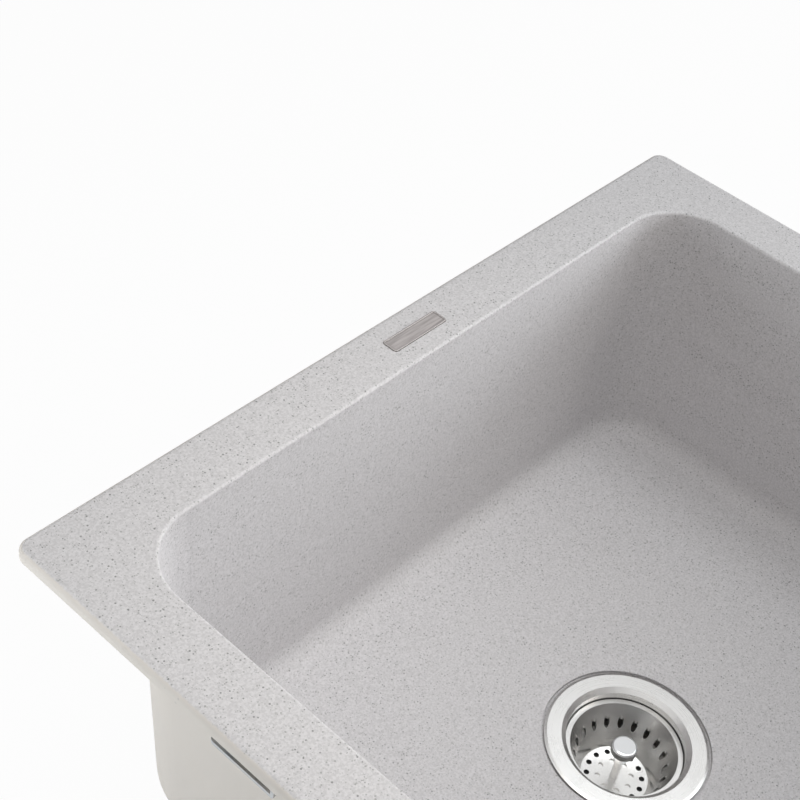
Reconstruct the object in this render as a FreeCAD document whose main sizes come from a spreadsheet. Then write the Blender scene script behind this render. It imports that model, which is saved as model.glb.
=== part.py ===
"""Drop-in granite composite kitchen sink with its badge, fixing clips and basket strainer waste.

Millimetres. X runs to the right, Y to the back and Z up. The origin lies in the worktop's top
face, in the middle of the sink. Every length is tied to the sheet that holds the dimensions.
"""
import FreeCAD, Part
import math
import os
import re

import Sketcher

# Driving dimensions: millimetres, degrees and counts
DIMENSIONS = {
    # Casting
    "sink_width": 610.0,
    "sink_depth": 508.0,
    "rim_side_width": 43.8,
    "rim_back_width": 43.0,
    "rim_thickness": 8.5,
    "rim_corner_radius": 9.4,
    "rim_edge_radius": 4.0,
    "rim_lower_radius": 1.0,
    "mouth_edge_radius": 2.0,
    "bowl_depth": 210.5,
    "bowl_draft": 2.5,
    "bowl_corner_radius": 44.0,
    "floor_radius": 18.0,
    "wall_thickness": 10.0,
    "floor_thickness": 12.0,
    "floor_fall": 3.0,
    "floor_fall_run": 91.0,
    "drain_boss_margin": 7.0,
    "drain_boss_height": 5.0,
    "drain_bore_gap": 3.0,
    "drain_seat_gap": 2.0,
    "drain_seat_recess": 2.5,
    # Badge
    "badge_length": 50.0,
    "badge_height": 12.3,
    "badge_thickness": 1.4,
    "badge_corner_radius": 2.2,
    "badge_edge_radius": 0.3,
    "badge_inset": 22.4,
    "badge_shift": 1.0,
    "badge_frame": 1.2,
    "badge_field_depth": 0.4,
    "badge_pad_thickness": 0.3,
    "badge_pad_margin": 1.0,
    "badge_proud": 0.7,
    "badge_gap": 0.25,
    # Seal under the rim
    "seal_inset": 2.5,
    "seal_width": 7.0,
    "seal_thickness": 1.5,
    # Fixing clips
    "clip_spread_x": 170.0,
    "clip_spread_y": 105.0,
    "clip_boss_length": 28.0,
    "clip_boss_reach": 17.0,
    "clip_boss_drop": 26.0,
    "clip_boss_radius": 4.0,
    "clip_axis_offset": 8.5,
    "dowel_radius": 4.5,
    "dowel_length": 18.0,
    "dowel_flange_radius": 6.5,
    "dowel_flange_thickness": 1.5,
    "screw_radius": 2.2,
    "screw_grip": 14.0,
    "screw_head_radius": 4.5,
    "screw_head_height": 3.2,
    "screw_slot_width": 1.2,
    "screw_slot_depth": 1.4,
    "washer_radius": 6.0,
    "washer_thickness": 1.2,
    "claw_reach": 42.0,
    "claw_heel": 8.0,
    "claw_width": 15.0,
    "claw_thickness": 2.5,
    "claw_corner_radius": 4.0,
    "claw_bend_radius": 2.2,
    "claw_tip_height": 8.0,
    "claw_bore_gap": 0.08,
    "worktop_thickness": 30.0,
    "claw_slack": 2.0,
    # Strainer cup in the drain
    "flange_reach": 14.0,
    "flange_edge": 0.8,
    "flange_bevel": 2.0,
    "flange_dip": 3.0,
    "flange_slope": 3.5,
    "cup_radius": 43.0,
    "cup_wall": 1.5,
    "cup_depth": 50.0,
    "cup_cone_height": 10.0,
    "neck_radius": 23.5,
    "neck_wall": 3.0,
    "neck_length": 26.0,
    "flange_gasket_thickness": 1.5,
    "flange_gasket_margin": 1.0,
    "floor_gasket_thickness": 3.0,
    "friction_washer_thickness": 1.0,
    "clamp_ring_reach": 15.0,
    "clamp_ring_gap": 0.4,
    "thread_gap": 0.15,
    "lock_nut_reach": 12.0,
    "lock_nut_height": 12.0,
    "lock_nut_bevel": 1.0,
    "lock_nut_lugs": 6,
    "lock_nut_lug_length": 6.0,
    "lock_nut_lug_width": 12.0,
    "spider_thickness": 2.5,
    "spider_ring_width": 2.0,
    "spider_spoke_width": 3.0,
    "spider_hub_radius": 7.0,
    "spider_drop": 5.0,
    "spider_gap": 0.05,
    # Outlet pipe
    "tail_radius": 19.0,
    "tail_wall": 1.5,
    "tail_length": 75.0,
    "tail_flange_thickness": 2.0,
    "tail_flange_gap": 0.6,
    "tail_neck_length": 10.0,
    "tail_neck_relief": 0.3,
    "tail_gasket_thickness": 2.5,
    "coupling_wall": 6.5,
    "coupling_overlap": 16.0,
    "coupling_floor": 4.0,
    "coupling_gap": 0.3,
    "coupling_bevel": 1.2,
    "coupling_flutes": 12,
    "coupling_flute_radius": 4.0,
    "coupling_flute_depth": 1.6,
    # Strainer basket
    "basket_gap": 0.7,
    "basket_height": 34.0,
    "basket_wall": 1.2,
    "basket_base_radius": 25.0,
    "basket_lip": 2.2,
    "basket_hole_radius": 2.0,
    "basket_inner_holes": 8,
    "basket_inner_ring": 12.0,
    "basket_outer_holes": 14,
    "basket_outer_ring": 19.5,
    "basket_side_holes": 20,
    "stopper_reach": 3.5,
    "stopper_thickness": 5.0,
    "stopper_bevel": 1.5,
    "stopper_gap": 0.3,
    "stopper_washer_radius": 16.0,
    "stopper_washer_thickness": 1.5,
    "post_radius": 3.0,
    "post_fit": 0.05,
    "post_nut_flats": 10.0,
    "post_nut_height": 4.0,
    "post_tip_length": 9.0,
    "post_tip_radius": 2.2,
    "post_hub_gap": 0.6,
    "knob_radius": 9.0,
    "knob_neck_radius": 5.0,
    "knob_height": 15.0,
    "knob_cap_height": 6.0,
    "knob_socket_depth": 9.0,
    "knob_edge_radius": 2.0,
    "post_length_above": 30.0,
}

doc = FreeCAD.newDocument("granite_sink")
sheet = doc.addObject("Spreadsheet::Sheet", "dims")
for row, (name, value) in enumerate(DIMENSIONS.items(), start=1):
    sheet.set("A%d" % row, name)
    sheet.set("B%d" % row, str(value))
    sheet.setAlias("B%d" % row, name)
doc.recompute()

# Levels and half sizes worked out from the driving dimensions
RIM_TOP = "(seal_thickness + rim_thickness)"
RIM_X = "(sink_width / 2)"
RIM_Y = "(sink_depth / 2)"
MOUTH_X = "(sink_width / 2 - rim_side_width)"
MOUTH_Y = "(sink_depth / 2 - rim_back_width)"
OUTSIDE_X = f"({MOUTH_X} + wall_thickness)"
OUTSIDE_Y = f"({MOUTH_Y} + wall_thickness)"
FLOOR = f"({RIM_TOP} - bowl_depth)"
DRAIN_EDGE = f"({FLOOR} - floor_fall)"
SEAT = f"({DRAIN_EDGE} - drain_seat_recess)"
FLANGE_RADIUS = "(cup_radius + flange_reach)"
DRAIN_BORE = "(cup_radius + drain_bore_gap)"
SEAT_RADIUS = f"({FLANGE_RADIUS} + drain_seat_gap)"
OUTSIDE_FLOOR = f"({FLOOR} - floor_thickness)"
DRAIN_BOSS_BOTTOM = f"({OUTSIDE_FLOOR} - drain_boss_height)"

BADGE_X = "(-badge_shift)"
BADGE_Y = f"({RIM_Y} - badge_inset)"
BADGE_BASE = f"({RIM_TOP} + badge_proud - badge_thickness)"
BADGE_RECESS = f"({BADGE_BASE} - badge_pad_thickness)"

CLIP_X = f"({OUTSIDE_X} + clip_axis_offset)"
CLIP_Y = f"({OUTSIDE_Y} + clip_axis_offset)"
CLIP_BOSS_BOTTOM = "(seal_thickness - clip_boss_drop)"
CLAW_TIP = "(-worktop_thickness - claw_slack)"
CLAW_BASE = f"({CLAW_TIP} - claw_tip_height)"
SCREW_HEAD_TOP = f"({CLAW_BASE} - washer_thickness)"

FLANGE_BASE = f"({SEAT} + flange_gasket_thickness)"
FLANGE_TOP = f"({FLANGE_BASE} + cup_wall)"
CUP_INNER = "(cup_radius - cup_wall)"
CLAMP_RING_RADIUS = "(cup_radius + clamp_ring_reach)"
LOCK_NUT_RADIUS = "(cup_radius + lock_nut_reach)"
CUP_BOTTOM = f"({FLANGE_BASE} - cup_depth)"
CONE_TOP = f"({CUP_BOTTOM} + cup_cone_height)"
NECK_INNER = "(neck_radius - neck_wall)"
NECK_END = f"({CUP_BOTTOM} - neck_length)"
FRICTION_TOP = f"({DRAIN_BOSS_BOTTOM} - floor_gasket_thickness)"
LOCK_NUT_TOP = f"({FRICTION_TOP} - friction_washer_thickness)"
LOCK_NUT_BOTTOM = f"({LOCK_NUT_TOP} - lock_nut_height)"
SPIDER_TOP = f"({CUP_BOTTOM} - spider_drop)"
SPIDER_BOTTOM = f"({SPIDER_TOP} - spider_thickness)"

TAIL_TOP = f"({NECK_END} - tail_gasket_thickness)"
TAIL_FLANGE_RADIUS = "(neck_radius - tail_flange_gap)"
TAIL_FLANGE_BOTTOM = f"({TAIL_TOP} - tail_flange_thickness)"
TAIL_BOTTOM = f"({TAIL_TOP} - tail_length)"
TAIL_NECK_BOTTOM = f"({TAIL_FLANGE_BOTTOM} - tail_neck_length)"
COUPLING_RADIUS = "(neck_radius + coupling_wall)"

STOPPER_RADIUS = f"({NECK_INNER} + stopper_reach)"
STOPPER_BOTTOM = (
    f"({CUP_BOTTOM} + stopper_gap"
    f" + cup_cone_height * stopper_reach / ({CUP_INNER} - {NECK_INNER}))"
)
STOPPER_TOP = f"({STOPPER_BOTTOM} + stopper_thickness)"
BASKET_BASE = f"({STOPPER_TOP} + stopper_washer_thickness)"
BASKET_TOP = f"({BASKET_BASE} + basket_height)"
BASKET_RADIUS = f"({CUP_INNER} - basket_gap)"
POST_NUT_BOTTOM = f"({STOPPER_BOTTOM} - post_nut_height)"
POST_TIP = f"({POST_NUT_BOTTOM} - post_tip_length)"
POST_TOP = f"({BASKET_BASE} + basket_wall + post_length_above)"
KNOB_BASE = f"({POST_TOP} - knob_socket_depth)"
KNOB_TOP = f"({KNOB_BASE} + knob_height)"
KNOB_CAP = f"({KNOB_TOP} - knob_cap_height)"

# Each clip: the side it is on, its place along that side and the way its stowed claw points
CLIPS = (
    ("-clip_spread_x", CLIP_Y, 0),
    ("clip_spread_x", CLIP_Y, 180),
    (CLIP_X, "clip_spread_y", 270),
    (CLIP_X, "-clip_spread_y", 90),
    ("clip_spread_x", f"-{CLIP_Y}", 180),
    ("-clip_spread_x", f"-{CLIP_Y}", 0),
    (f"-{CLIP_X}", "-clip_spread_y", 90),
    (f"-{CLIP_X}", "clip_spread_y", 270),
)


def size(name):
    """The value of a driving dimension."""
    return float(sheet.get(name))


def formula(text):
    """A formula of dimension names as the document's expressions write it."""
    words = re.split(r"([a-z_]+)", text)
    return "".join("dims." + word if word in DIMENSIONS else word for word in words)


def bind(thing, path, text):
    """Tie a property to a formula of dimension names."""
    thing.setExpression(path, formula(text))


def new_body(label):
    """An empty body that may hold several separate solids."""
    body = doc.addObject("PartDesign::Body", label)
    body.Label = label
    body.AllowCompound = True
    return body


def new_sketch(body, level="0", plane="XY_Plane"):
    """A sketch on one of the body's own planes, moved along the plane's normal."""
    sketch = body.newObject("Sketcher::SketchObject", "sketch")
    support = [feature for feature in body.Origin.OriginFeatures if feature.Role == plane][0]
    sketch.AttachmentSupport = (support, "")
    sketch.MapMode = "FlatFace"
    bind(sketch, "AttachmentOffset.Base.z", level)
    return sketch


def pin_point(sketch, geometry, point, x, y):
    """Tie one point of a sketch to its two coordinates."""
    for kind, text in (("DistanceX", x), ("DistanceY", y)):
        index = sketch.addConstraint(Sketcher.Constraint(kind, -1, 1, geometry, point, 1.0))
        bind(sketch, "Constraints[%d]" % index, text)


def add_outline(sketch, points):
    """A closed outline of straight lines through points that are given by formulas."""
    count = len(points)
    turn = 2 * math.pi / count
    corners = [FreeCAD.Vector(math.cos(turn * i), math.sin(turn * i), 0) for i in range(count)]
    first = sketch.GeometryCount
    for i in range(count):
        sketch.addGeometry(Part.LineSegment(corners[i], corners[(i + 1) % count]))
    for i in range(count):
        follower = first + (i + 1) % count
        sketch.addConstraint(Sketcher.Constraint("Coincident", first + i, 2, follower, 1))
    for i, (x, y) in enumerate(points):
        pin_point(sketch, first + i, 1, x, y)


def add_rectangle(sketch, x, y, half_x, half_y):
    """A rectangle about a middle point."""
    corners = (("-", "-"), ("+", "-"), ("+", "+"), ("-", "+"))
    add_outline(sketch, [(f"{x} {a} ({half_x})", f"{y} {b} ({half_y})") for a, b in corners])


def add_circle(sketch, x, y, radius):
    """A circle about a middle point."""
    geometry = sketch.addGeometry(Part.Circle(FreeCAD.Vector(0, 0, 0), FreeCAD.Vector(0, 0, 1), 1.0))
    pin_point(sketch, geometry, 3, x, y)
    index = sketch.addConstraint(Sketcher.Constraint("Radius", geometry, 1.0))
    bind(sketch, "Constraints[%d]" % index, radius)


def pad(body, sketch, length, down=False, draft=None, both_ways=False):
    """Raise a sketch into a solid and add it to the body."""
    feature = body.newObject("PartDesign::Pad", "pad")
    feature.Profile = sketch
    bind(feature, "Length", length)
    feature.Reversed = down
    feature.Midplane = both_ways
    if draft:
        bind(feature, "TaperAngle", draft)
    doc.recompute()
    return feature


def pocket(body, sketch, depth, up=False, draft=None):
    """Cut a sketch into the body, and make sure that it removes something."""
    before = body.Shape.Volume
    feature = body.newObject("PartDesign::Pocket", "pocket")
    feature.Profile = sketch
    bind(feature, "Length", depth)
    feature.Reversed = up
    if draft:
        bind(feature, "TaperAngle", draft)
    doc.recompute()
    if body.Shape.Volume >= before:
        raise RuntimeError("A cut in %s removes nothing" % body.Label)
    return feature


def drill_through(body, sketch):
    """Cut a sketch right through the body."""
    feature = body.newObject("PartDesign::Pocket", "bore")
    feature.Profile = sketch
    feature.Type = "ThroughAll"
    feature.Midplane = True
    doc.recompute()
    return feature


def turn_round(body, points, cut=False):
    """Turn an outline of radius and level round the vertical axis, to add it or to cut it away."""
    sketch = new_sketch(body, plane="XZ_Plane")
    add_outline(sketch, points)
    feature = body.newObject("PartDesign::Groove" if cut else "PartDesign::Revolution", "turned")
    feature.Profile = sketch
    feature.ReferenceAxis = (sketch, ["V_Axis"])
    feature.Angle = 360
    doc.recompute()
    return feature


def repeat_round(body, feature, count):
    """Repeat a feature evenly round the vertical axis."""
    axis = [item for item in body.Origin.OriginFeatures if item.Role == "Z_Axis"][0]
    pattern = body.newObject("PartDesign::PolarPattern", "pattern")
    pattern.Originals = [feature]
    pattern.Axis = (axis, [""])
    pattern.Angle = 360
    bind(pattern, "Occurrences", count)
    body.Tip = pattern
    doc.recompute()
    return pattern


def round_edges(body, radius, chosen):
    """Round the edges of the body that a test on an edge's box picks out."""
    base = body.Tip
    edges = base.Shape.Edges
    names = ["Edge%d" % (i + 1) for i, edge in enumerate(edges) if chosen(edge.BoundBox)]
    feature = body.newObject("PartDesign::Fillet", "rounding")
    feature.Base = (base, names)
    bind(feature, "Radius", radius)
    doc.recompute()
    return feature


def is_upright(box):
    """True for an edge that runs mainly up."""
    return box.ZLength > max(box.XLength, box.YLength) + 1e-6


def is_at_level(box, level):
    """True for an edge that lies flat at a level."""
    return abs(box.ZMin - level) < 1e-4 and abs(box.ZMax - level) < 1e-4


def is_within(box, half_x, half_y):
    """True for an edge whose box lies inside a rectangle about the middle."""
    return max(-box.XMin, box.XMax) < half_x and max(-box.YMin, box.YMax) < half_y


def turned_part(label, points):
    """A body that is one outline turned round the vertical axis."""
    body = new_body(label)
    turn_round(body, points)
    return body


def ring(label, inner, outer, base, top):
    """A flat ring."""
    return turned_part(label, [(inner, base), (outer, base), (outer, top), (inner, top)])


def make_basin():
    """The casting: rim, bowl, drain seat, badge recess and the bosses for the clips."""
    body = new_body("sink_basin")
    near = 0.01

    rim = new_sketch(body, "seal_thickness")
    add_rectangle(rim, "0", "0", RIM_X, RIM_Y)
    pad(body, rim, "rim_thickness")
    round_edges(body, "rim_corner_radius", is_upright)
    rim_top = size("seal_thickness") + size("rim_thickness")
    round_edges(body, "rim_edge_radius", lambda box: is_at_level(box, rim_top))
    underside = size("seal_thickness")
    round_edges(body, "rim_lower_radius", lambda box: is_at_level(box, underside))

    outside = new_sketch(body, "seal_thickness")
    add_rectangle(outside, "0", "0", OUTSIDE_X, OUTSIDE_Y)
    pad(body, outside, f"seal_thickness - {OUTSIDE_FLOOR}", down=True, draft="-bowl_draft")
    mouth = new_sketch(body, RIM_TOP)
    add_rectangle(mouth, "0", "0", MOUTH_X, MOUTH_Y)
    pocket(body, mouth, "bowl_depth", draft="-bowl_draft")

    mouth_x = size("sink_width") / 2 - size("rim_side_width")
    mouth_y = size("sink_depth") / 2 - size("rim_back_width")
    floor = rim_top - size("bowl_depth")
    outside_floor = floor - size("floor_thickness")
    round_edges(
        body,
        "bowl_corner_radius",
        lambda box: box.ZMax > rim_top - near and box.ZMin < floor + near,
    )
    round_edges(
        body,
        "bowl_corner_radius + wall_thickness",
        lambda box: box.ZMin < outside_floor + near and is_upright(box),
    )
    round_edges(body, "floor_radius", lambda box: is_at_level(box, floor))
    round_edges(body, "floor_radius + wall_thickness", lambda box: is_at_level(box, outside_floor))
    round_edges(
        body,
        "mouth_edge_radius",
        lambda box: is_at_level(box, rim_top) and is_within(box, mouth_x + near, mouth_y + near),
    )

    drain_boss = new_sketch(body, OUTSIDE_FLOOR)
    add_circle(drain_boss, "0", "0", f"{SEAT_RADIUS} + drain_boss_margin")
    pad(body, drain_boss, "drain_boss_height", down=True)
    turn_round(
        body,
        [
            ("0", FLOOR),
            (f"{SEAT_RADIUS} + floor_fall_run", FLOOR),
            (SEAT_RADIUS, DRAIN_EDGE),
            (SEAT_RADIUS, SEAT),
            (DRAIN_BORE, SEAT),
            (DRAIN_BORE, f"{DRAIN_BOSS_BOTTOM} - drain_boss_height"),
            ("0", f"{DRAIN_BOSS_BOTTOM} - drain_boss_height"),
        ],
        cut=True,
    )

    bosses = new_sketch(body, "seal_thickness")
    boss_half = "(clip_boss_reach + wall_thickness / 2) / 2"
    boss_middle = "clip_boss_reach / 2 - wall_thickness / 4"
    for sign in "+-":
        for place in ("clip_spread_x", "-clip_spread_x"):
            middle = f"0 {sign} ({OUTSIDE_Y} + {boss_middle})"
            add_rectangle(bosses, place, middle, "clip_boss_length / 2", boss_half)
        for place in ("clip_spread_y", "-clip_spread_y"):
            middle = f"0 {sign} ({OUTSIDE_X} + {boss_middle})"
            add_rectangle(bosses, middle, place, boss_half, "clip_boss_length / 2")
    pad(body, bosses, "clip_boss_drop", down=True)
    boss_x = mouth_x + size("wall_thickness") + size("clip_boss_reach")
    boss_y = mouth_y + size("wall_thickness") + size("clip_boss_reach")
    round_edges(
        body,
        "clip_boss_radius",
        lambda box: is_upright(box)
        and abs(box.ZLength - size("clip_boss_drop")) < near
        and (max(-box.XMin, box.XMax) > boss_x - near or max(-box.YMin, box.YMax) > boss_y - near),
    )

    dowel_holes = new_sketch(body, CLIP_BOSS_BOTTOM)
    for x, y, _ in CLIPS:
        add_circle(dowel_holes, x, y, "dowel_radius")
    pocket(body, dowel_holes, "dowel_length", up=True)

    recess = new_sketch(body, RIM_TOP)
    add_rectangle(recess, BADGE_X, BADGE_Y, "badge_length / 2 + badge_gap", "badge_height / 2 + badge_gap")
    pocket(body, recess, f"{RIM_TOP} - {BADGE_RECESS}")
    recess_depth = size("badge_thickness") + size("badge_pad_thickness") - size("badge_proud")
    round_edges(
        body,
        "badge_corner_radius + badge_gap",
        lambda box: is_upright(box)
        and abs(box.ZLength - recess_depth) < near
        and max(-box.XMin, box.XMax) < size("badge_length")
        and box.ZMax > rim_top - near,
    )
    return body


def make_badge():
    """The plate with its raised frame and plain field, and the pad that holds it."""
    plate = new_body("badge_plate")
    outline = new_sketch(plate, BADGE_BASE)
    add_rectangle(outline, BADGE_X, BADGE_Y, "badge_length / 2", "badge_height / 2")
    pad(plate, outline, "badge_thickness")
    round_edges(plate, "badge_corner_radius", is_upright)
    field = new_sketch(plate, f"{BADGE_BASE} + badge_thickness")
    half_x = "badge_length / 2 - badge_frame"
    half_y = "badge_height / 2 - badge_frame"
    add_rectangle(field, BADGE_X, BADGE_Y, half_x, half_y)
    pocket(plate, field, "badge_field_depth")
    round_edges(
        plate,
        "badge_corner_radius - badge_frame",
        lambda box: is_upright(box) and abs(box.ZLength - size("badge_field_depth")) < 1e-4,
    )
    plate_top = size("seal_thickness") + size("rim_thickness") + size("badge_proud")
    round_edges(plate, "badge_edge_radius", lambda box: is_at_level(box, plate_top))

    backing = new_body("badge_pad")
    shape = new_sketch(backing, BADGE_RECESS)
    half_x = "badge_length / 2 - badge_pad_margin"
    half_y = "badge_height / 2 - badge_pad_margin"
    add_rectangle(shape, BADGE_X, BADGE_Y, half_x, half_y)
    pad(backing, shape, "badge_pad_thickness")
    return [plate, backing]


def make_rim_seal():
    """The strip that lies between the rim and the worktop."""
    body = new_body("rim_seal")
    loop = new_sketch(body)
    add_rectangle(loop, "0", "0", f"{RIM_X} - seal_inset", f"{RIM_Y} - seal_inset")
    inner_x = f"{RIM_X} - seal_inset - seal_width"
    inner_y = f"{RIM_Y} - seal_inset - seal_width"
    add_rectangle(loop, "0", "0", inner_x, inner_y)
    pad(body, loop, "seal_thickness")
    outer = size("sink_width") / 2 - size("seal_inset") - 0.01
    round_edges(
        body,
        "rim_corner_radius - seal_inset",
        lambda box: is_upright(box) and max(-box.XMin, box.XMax) > outer,
    )
    return body


def make_clip_hardware():
    """The dowels, screws and washers, each kind a group of eight."""
    dowels = new_body("clip_dowels")
    sleeves = new_sketch(dowels, CLIP_BOSS_BOTTOM)
    flanges = new_sketch(dowels, CLIP_BOSS_BOTTOM)
    bores = new_sketch(dowels, CLIP_BOSS_BOTTOM)
    for x, y, _ in CLIPS:
        add_circle(sleeves, x, y, "dowel_radius")
        add_circle(flanges, x, y, "dowel_flange_radius")
        add_circle(bores, x, y, "screw_radius")
    pad(dowels, sleeves, "dowel_length")
    pad(dowels, flanges, "dowel_flange_thickness", down=True)
    drill_through(dowels, bores)

    screws = new_body("clip_screws")
    shafts = new_sketch(screws, SCREW_HEAD_TOP)
    heads = new_sketch(screws, SCREW_HEAD_TOP)
    slots = new_sketch(screws, f"{SCREW_HEAD_TOP} - screw_head_height")
    for x, y, _ in CLIPS:
        add_circle(shafts, x, y, "screw_radius")
        add_circle(heads, x, y, "screw_head_radius")
        add_rectangle(slots, x, y, "screw_head_radius + screw_slot_width", "screw_slot_width / 2")
    pad(screws, shafts, f"{CLIP_BOSS_BOTTOM} + screw_grip - {SCREW_HEAD_TOP}")
    pad(screws, heads, "screw_head_height", down=True)
    pocket(screws, slots, "screw_slot_depth", up=True)

    washers = new_body("clip_washers")
    rings = new_sketch(washers, SCREW_HEAD_TOP)
    for x, y, _ in CLIPS:
        add_circle(rings, x, y, "washer_radius")
        add_circle(rings, x, y, "screw_radius + claw_bore_gap")
    pad(washers, rings, "washer_thickness")
    return [dowels, screws, washers]


def make_claw(number, x, y, angle):
    """A strip that swings on its screw, with its end bent up to grip the worktop."""
    body = new_body("clip_claw_%d" % number)
    strip = new_sketch(body, plane="XZ_Plane")
    top = f"{CLAW_BASE} + claw_thickness"
    add_outline(
        strip,
        [
            ("-claw_heel", CLAW_BASE),
            ("claw_reach", CLAW_BASE),
            ("claw_reach", CLAW_TIP),
            ("claw_reach - claw_thickness", CLAW_TIP),
            ("claw_reach - claw_thickness", top),
            ("-claw_heel", top),
        ],
    )
    pad(body, strip, "claw_width", both_ways=True)
    heel = 0.01 - size("claw_heel")
    round_edges(body, "claw_corner_radius", lambda box: is_upright(box) and box.XMax < heel)
    bend = size("claw_reach") - 0.01
    base = body.Shape.BoundBox.ZMin
    round_edges(
        body,
        "claw_bend_radius",
        lambda box: is_at_level(box, base) and box.XMin > bend,
    )
    bore = new_sketch(body, CLAW_BASE)
    add_circle(bore, "0", "0", "screw_radius + claw_bore_gap")
    drill_through(body, bore)
    body.Placement = FreeCAD.Placement(
        FreeCAD.Vector(0, 0, 0), FreeCAD.Rotation(FreeCAD.Vector(0, 0, 1), angle)
    )
    bind(body, "Placement.Base.x", x)
    bind(body, "Placement.Base.y", y)
    return body


def make_strainer_cup():
    """The flanged cup in the drain hole, with the threaded neck for the outlet."""
    return turned_part(
        "strainer_cup",
        [
            (FLANGE_RADIUS, FLANGE_BASE),
            (FLANGE_RADIUS, f"{FLANGE_BASE} + flange_edge"),
            (f"{FLANGE_RADIUS} - flange_bevel", FLANGE_TOP),
            (f"{CUP_INNER} + flange_slope", FLANGE_TOP),
            (CUP_INNER, f"{FLANGE_TOP} - flange_dip"),
            (CUP_INNER, CONE_TOP),
            (NECK_INNER, CUP_BOTTOM),
            (NECK_INNER, NECK_END),
            ("neck_radius", NECK_END),
            ("neck_radius", f"{CUP_BOTTOM} - cup_wall"),
            ("cup_radius", f"{CONE_TOP} - cup_wall"),
            ("cup_radius", f"{FLANGE_BASE} - flange_dip"),
            ("cup_radius + flange_slope", FLANGE_BASE),
        ],
    )


def make_cup_clamp():
    """The gaskets, the washer and the nut that clamp the cup to the floor of the bowl."""
    inner = "cup_radius + clamp_ring_gap"
    nut = turned_part(
        "lock_nut",
        [
            ("cup_radius + thread_gap", LOCK_NUT_BOTTOM),
            (f"{LOCK_NUT_RADIUS} - lock_nut_bevel", LOCK_NUT_BOTTOM),
            (LOCK_NUT_RADIUS, f"{LOCK_NUT_BOTTOM} + lock_nut_bevel"),
            (LOCK_NUT_RADIUS, LOCK_NUT_TOP),
            ("cup_radius + thread_gap", LOCK_NUT_TOP),
        ],
    )
    lug = new_sketch(nut, LOCK_NUT_BOTTOM)
    reach = "(lock_nut_lug_length + lock_nut_bevel) / 2"
    middle = f"{LOCK_NUT_RADIUS} - lock_nut_bevel + {reach}"
    add_rectangle(lug, middle, "0", reach, "lock_nut_lug_width / 2")
    repeat_round(nut, pad(nut, lug, "lock_nut_height"), "lock_nut_lugs")
    return [
        ring(
            "flange_gasket",
            "cup_radius + flange_slope",
            f"{FLANGE_RADIUS} - flange_gasket_margin",
            SEAT,
            FLANGE_BASE,
        ),
        ring("floor_gasket", inner, CLAMP_RING_RADIUS, FRICTION_TOP, DRAIN_BOSS_BOTTOM),
        ring("friction_washer", inner, CLAMP_RING_RADIUS, LOCK_NUT_TOP, FRICTION_TOP),
        nut,
    ]


def make_crosspiece():
    """The spider in the neck that guides the tip of the basket's post."""
    outer = f"({NECK_INNER} - spider_gap)"
    body = ring("cup_crosspiece", f"{outer} - spider_ring_width", outer, SPIDER_BOTTOM, SPIDER_TOP)
    hub = new_sketch(body, SPIDER_BOTTOM)
    spoke_half = f"({outer} - spider_ring_width / 2)"
    add_rectangle(hub, "0", "0", spoke_half, "spider_spoke_width / 2")
    pad(body, hub, "spider_thickness")
    across = new_sketch(body, SPIDER_BOTTOM)
    add_rectangle(across, "0", "0", "spider_spoke_width / 2", spoke_half)
    pad(body, across, "spider_thickness")
    disc = new_sketch(body, SPIDER_BOTTOM)
    add_circle(disc, "0", "0", "spider_hub_radius")
    pad(body, disc, "spider_thickness")
    eye = new_sketch(body, SPIDER_BOTTOM)
    add_circle(eye, "0", "0", "post_tip_radius + post_hub_gap")
    drill_through(body, eye)
    return body


def make_outlet():
    """The outlet pipe with its gasket and the fluted nut that joins it to the neck."""
    tail_inner = "tail_radius - tail_wall"
    pipe = turned_part(
        "tailpiece",
        [
            (tail_inner, TAIL_TOP),
            (TAIL_FLANGE_RADIUS, TAIL_TOP),
            (TAIL_FLANGE_RADIUS, TAIL_FLANGE_BOTTOM),
            ("tail_radius - tail_neck_relief", TAIL_FLANGE_BOTTOM),
            ("tail_radius - tail_neck_relief", TAIL_NECK_BOTTOM),
            ("tail_radius", TAIL_NECK_BOTTOM),
            ("tail_radius", TAIL_BOTTOM),
            (tail_inner, TAIL_BOTTOM),
        ],
    )
    bore = "neck_radius + thread_gap"
    throat = "tail_radius + coupling_gap"
    nut_top = f"{NECK_END} + coupling_overlap"
    nut_bottom = f"{TAIL_FLANGE_BOTTOM} - coupling_floor"
    nut = turned_part(
        "coupling_nut",
        [
            (bore, nut_top),
            (f"{COUPLING_RADIUS} - coupling_bevel", nut_top),
            (COUPLING_RADIUS, f"{nut_top} - coupling_bevel"),
            (COUPLING_RADIUS, f"{nut_bottom} + coupling_bevel"),
            (f"{COUPLING_RADIUS} - coupling_bevel", nut_bottom),
            (throat, nut_bottom),
            (throat, TAIL_FLANGE_BOTTOM),
            (bore, TAIL_FLANGE_BOTTOM),
        ],
    )
    flute = new_sketch(nut, nut_top)
    flute_place = f"{COUPLING_RADIUS} + coupling_flute_radius - coupling_flute_depth"
    add_circle(flute, flute_place, "0", "coupling_flute_radius")
    flute_cut = pocket(nut, flute, f"{nut_top} - ({nut_bottom})")
    repeat_round(nut, flute_cut, "coupling_flutes")
    return [pipe, nut, ring("tail_gasket", tail_inner, TAIL_FLANGE_RADIUS, TAIL_TOP, NECK_END)]


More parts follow.
